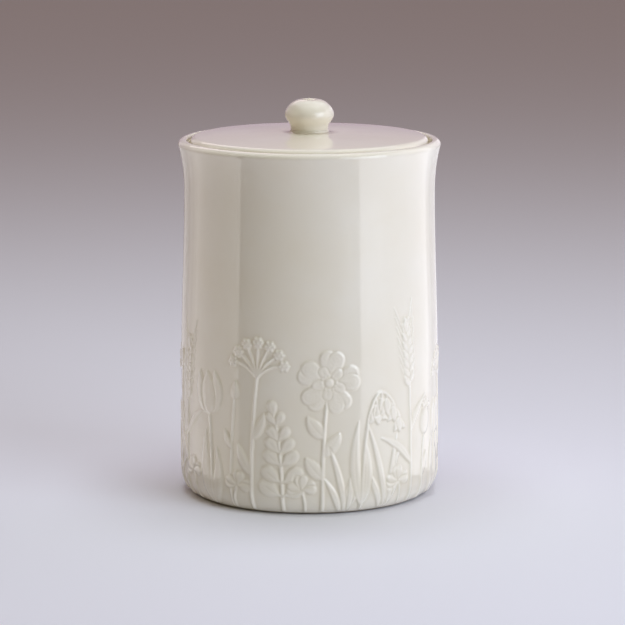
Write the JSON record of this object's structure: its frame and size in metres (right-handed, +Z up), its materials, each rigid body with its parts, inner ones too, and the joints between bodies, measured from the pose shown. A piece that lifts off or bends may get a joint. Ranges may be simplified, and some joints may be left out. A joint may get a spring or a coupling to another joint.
{
  "type": "biscuit jar",
  "caption": "Round glazed stoneware biscuit jar with a slight waist and flared rim; an inset domed lid with a mushroom knob and a soft ring seal lifts off.",
  "frame": {"origin": "centre of the foot ring, on the surface that the jar stands on", "axes": "+Z up along the jar's axis; the side seen in front faces -Y"},
  "size_m": [0.165, 0.165, 0.25],
  "materials": {
    "glaze": "glossy ivory glaze",
    "seal": "matt milky silicone"
  },
  "bodies": {
    "jar": {"jar_body": "glaze"},
    "lid": {"lid": "glaze", "lid_knob": "glaze", "lid_seal": "seal"}
  },
  "joints": [
    {"name": "lid_lift", "type": "slide", "parent": "jar", "child": "lid", "axis": [0, 0, 1], "range_m": [0, 0.08]}
  ]
}
